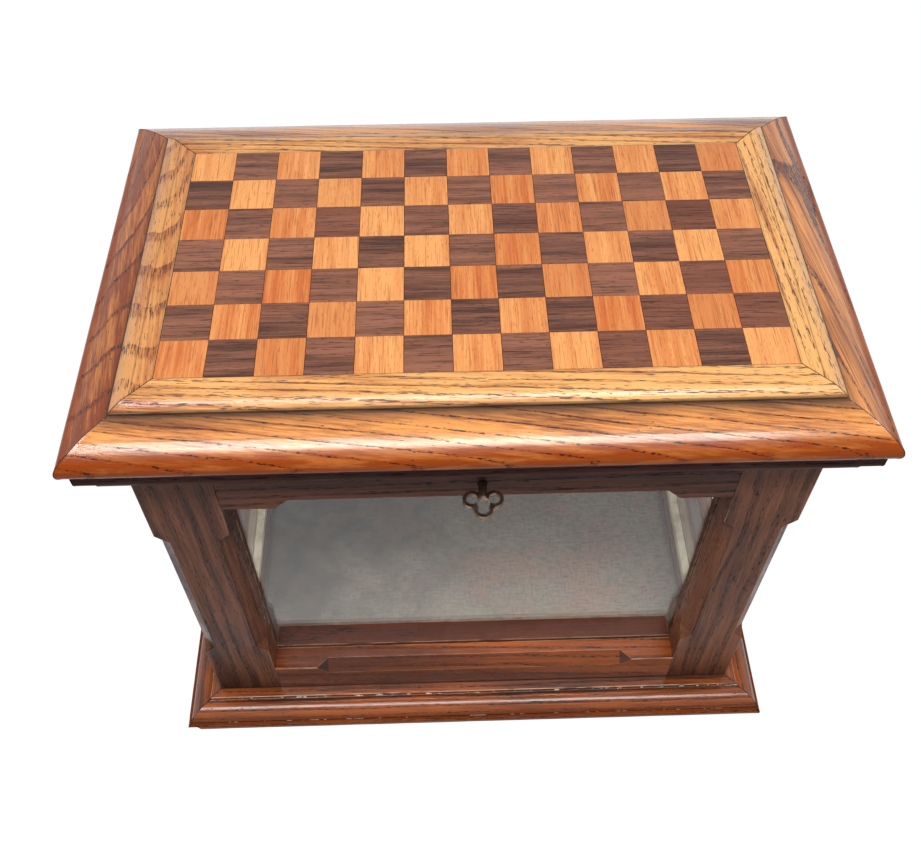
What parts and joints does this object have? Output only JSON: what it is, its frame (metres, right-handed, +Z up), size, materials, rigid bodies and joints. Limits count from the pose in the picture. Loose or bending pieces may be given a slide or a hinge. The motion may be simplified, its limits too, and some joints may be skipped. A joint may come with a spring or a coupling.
{
  "type": "display cabinet",
  "caption": "Table-top oak display cabinet: glazed sides between stop-chamfered posts, moulded base and a hinged, lockable lid with a chequered parquetry top.",
  "frame": {"origin": "centre of the base's underside", "axes": "+Z up, the front with the keyhole faces -Y, +X is to the right seen from the front"},
  "size_m": [0.425, 0.2726, 0.348],
  "materials": {
    "case_oak": "satin, dark stained oak",
    "base_oak": "polished, amber stained oak",
    "rim_oak": "polished, very dark oak",
    "moulding_oak": "polished oak",
    "border_oak": "polished golden oak",
    "light_inlay": "polished, light golden veneer",
    "dark_inlay": "polished, dark rosewood veneer",
    "floor_wood": "plain deal board",
    "bead_paint": "cream painted strip",
    "lining": "worn linen",
    "glass": "clear plate",
    "hinge_brass": "aged brass",
    "lock_brass": "aged brass",
    "screw_steel": "dull steel",
    "key_iron": "dark bronzed iron"
  },
  "bodies": {
    "case": {"base_front": "base_oak", "bottom_rail_front": "case_oak", "top_rail_front": "case_oak", "glass_front": "glass", "glass_beads_front": "bead_paint", "cornice_front": "rim_oak", "base_right": "base_oak", "bottom_rail_right": "case_oak", "top_rail_right": "case_oak", "glass_right": "glass", "glass_beads_right": "bead_paint", "cornice_right": "rim_oak", "base_back": "base_oak", "bottom_rail_back": "case_oak", "top_rail_back": "case_oak", "glass_back": "glass", "glass_beads_back": "bead_paint", "cornice_back": "rim_oak", "base_left": "base_oak", "bottom_rail_left": "case_oak", "top_rail_left": "case_oak", "glass_left": "glass", "glass_beads_left": "bead_paint", "cornice_left": "rim_oak", "post_front_left": "case_oak", "post_front_right": "case_oak", "post_back_right": "case_oak", "post_back_left": "case_oak", "floor_board": "floor_wood", "floor_lining": "lining", "lock_case": "lock_brass", "lock_screws": "screw_steel", "case_hinge_screws": "screw_steel", "case_hinge_leaf_left": "hinge_brass", "hinge_pin_left": "hinge_brass", "case_hinge_leaf_right": "hinge_brass", "hinge_pin_right": "hinge_brass"},
    "lid": {"lid_rim_front": "rim_oak", "lid_moulding_front": "moulding_oak", "lid_border_front": "border_oak", "lid_rim_right": "rim_oak", "lid_moulding_right": "moulding_oak", "lid_border_right": "border_oak", "lid_rim_back": "rim_oak", "lid_moulding_back": "moulding_oak", "lid_border_back": "border_oak", "lid_rim_left": "rim_oak", "lid_moulding_left": "moulding_oak", "lid_border_left": "border_oak", "lid_panel": "moulding_oak", "light_squares": "light_inlay", "dark_squares": "dark_inlay", "link_plate": "lock_brass", "link_plate_screws": "screw_steel", "lid_hinge_screws": "screw_steel", "lid_hinge_leaf_left": "hinge_brass", "lid_hinge_leaf_right": "hinge_brass"},
    "key": {"key": "key_iron"},
    "bolt": {"lock_bolt": "lock_brass"}
  },
  "joints": [
    {"name": "lid_hinge", "type": "hinge", "parent": "case", "child": "lid", "pos_m": [0, 0.124, 0.312], "axis": [-1, 0, 0], "range_deg": [0, 95]},
    {"name": "key_turn", "type": "hinge", "parent": "case", "child": "key", "pos_m": [0.002, -0.1118, 0.2793], "axis": [0, 1, 0], "range_deg": [0, 90]},
    {"name": "bolt_slide", "type": "slide", "parent": "case", "child": "bolt", "axis": [1, 0, 0], "range_m": [0, 0.0061]}
  ],
  "couplings": [
    {"joint": "bolt_slide", "follows": "key_turn", "m_per_rad": 0.0038197}
  ]
}
